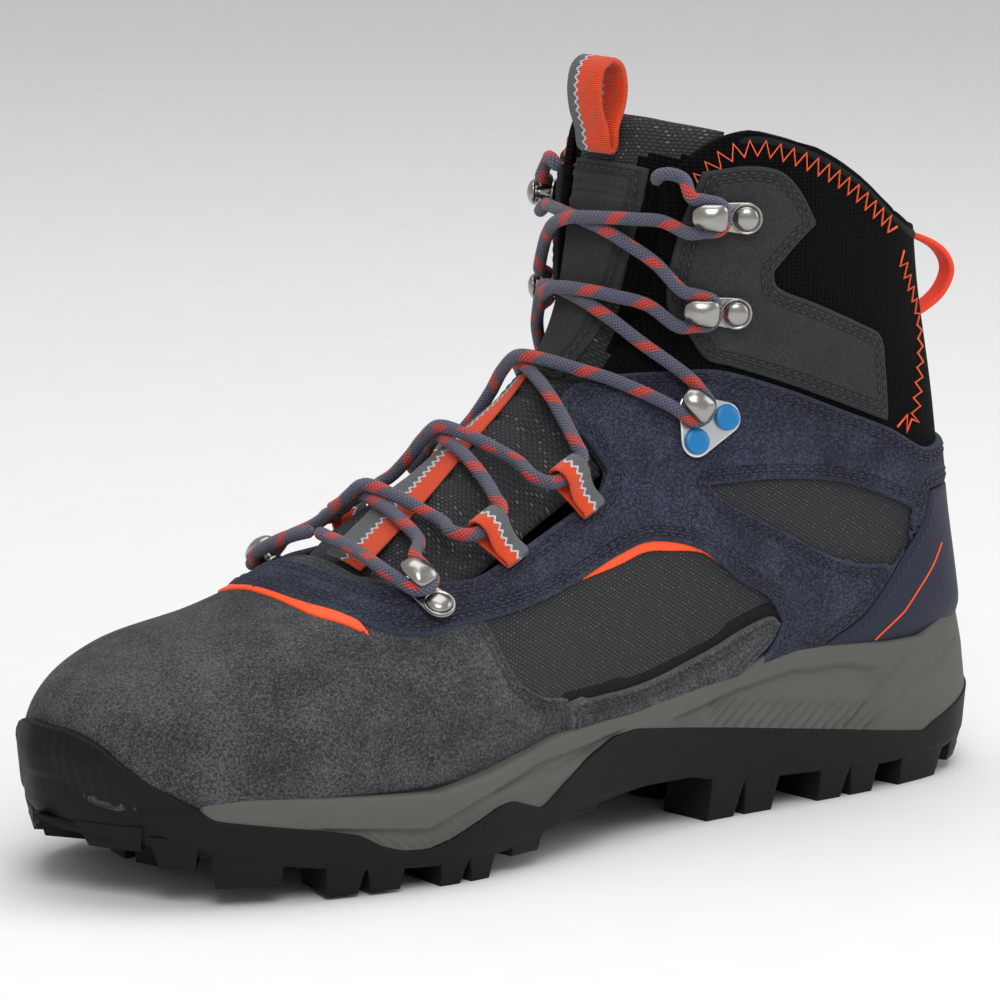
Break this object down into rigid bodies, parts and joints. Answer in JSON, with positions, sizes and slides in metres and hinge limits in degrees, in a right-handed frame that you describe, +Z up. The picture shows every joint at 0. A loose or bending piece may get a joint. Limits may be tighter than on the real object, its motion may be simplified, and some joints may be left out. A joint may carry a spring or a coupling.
{
  "type": "hiking boot",
  "caption": "Mid-cut hiking boot for the left foot, laced up, with a lugged sole, suede and mesh upper, metal hooks, padded tongue and collar, and webbing pull loops.",
  "frame": {"origin": "on the ground plane, under the middle of the boot's bounding box", "axes": "+Z up, toe towards -X, heel towards +X, outer side of the foot towards -Y, inner side towards +Y"},
  "size_m": [0.2992, 0.1058, 0.197],
  "materials": {
    "outsole_rubber": "matte black moulded tread rubber",
    "midsole_foam": "moulded grey foam, satin",
    "toe_suede": "dark grey suede",
    "mesh": "dark grey woven mesh",
    "navy_suede": "navy suede",
    "heel_film": "smooth navy coated overlay",
    "nubuck": "charcoal nubuck",
    "knit": "black knit",
    "lining": "black lining fabric",
    "board": "pressed fibre board",
    "shank_steel": "plain steel strip",
    "stiffener": "moulded stiffener",
    "foam": "soft foam",
    "nickel": "dark nickel plate",
    "blue_rivet": "blue anodised",
    "orange_webbing": "orange and grey webbing",
    "lace": "slate blue braid with red flecks"
  },
  "bodies": {
    "root": {"toe_suede": "toe_suede", "quarter_suede": "navy_suede", "heel_overlay": "heel_film", "collar_rear": "knit", "side_mesh_lateral": "mesh", "side_strip_lateral": "toe_suede", "collar_knit_lateral": "knit", "ankle_overlay_lateral": "nubuck", "side_mesh_medial": "mesh", "side_strip_medial": "toe_suede", "collar_knit_medial": "knit", "ankle_overlay_medial": "nubuck", "lining": "lining", "toe_puff": "stiffener", "heel_counter": "stiffener", "collar_foam": "foam", "tongue_body": "mesh", "tongue_face": "nubuck", "tongue_keeper": "orange_webbing", "outsole": "outsole_rubber", "midsole": "midsole_foam", "shank": "shank_steel", "insole_board": "board", "footbed": "lining", "hook_top_rivet_lateral": "nickel", "hook_top_lateral": "nickel", "hook_middle_rivet_lateral": "nickel", "hook_middle_lateral": "nickel", "hook_lower_rivet_1_lateral": "blue_rivet", "hook_lower_rivet_2_lateral": "blue_rivet", "hook_lower_lateral": "nickel", "lace_ring_rivet_lateral": "nickel", "lace_ring_lateral": "nickel", "hook_top_rivet_medial": "nickel", "hook_top_medial": "nickel", "hook_middle_rivet_medial": "nickel", "hook_middle_medial": "nickel", "hook_lower_rivet_1_medial": "blue_rivet", "hook_lower_rivet_2_medial": "blue_rivet", "hook_lower_medial": "nickel", "lace_ring_rivet_medial": "nickel", "lace_ring_medial": "nickel", "webbing_eye_lower_lateral": "orange_webbing", "webbing_eye_upper_lateral": "orange_webbing", "webbing_eye_lower_medial": "orange_webbing", "webbing_eye_upper_medial": "orange_webbing", "lace_run_a": "lace", "lace_run_b": "lace"},
    "tongue_head": {"tongue_top": "mesh"},
    "tongue_pull": {"tongue_loop": "orange_webbing"},
    "heel_pull": {"heel_loop": "orange_webbing"}
  },
  "joints": [
    {"name": "tongue_flex", "type": "hinge", "parent": "root", "child": "tongue_head", "pos_m": [0.03013, 0.00246, 0.1704], "axis": [0, -1, 0], "range_deg": [0, 7], "stiffness_Nm_per_rad": 0.2},
    {"name": "tongue_loop_tilt", "type": "hinge", "parent": "tongue_head", "child": "tongue_pull", "pos_m": [0.02723, 0.00246, 0.172], "axis": [0, -1, 0], "range_deg": [-5, 35], "stiffness_Nm_per_rad": 0.01},
    {"name": "heel_loop_swing", "type": "hinge", "parent": "root", "child": "heel_pull", "pos_m": [0.12693, 0.00246, 0.131], "axis": [0, 0, 1], "range_deg": [-24, 55], "stiffness_Nm_per_rad": 0.01}
  ]
}
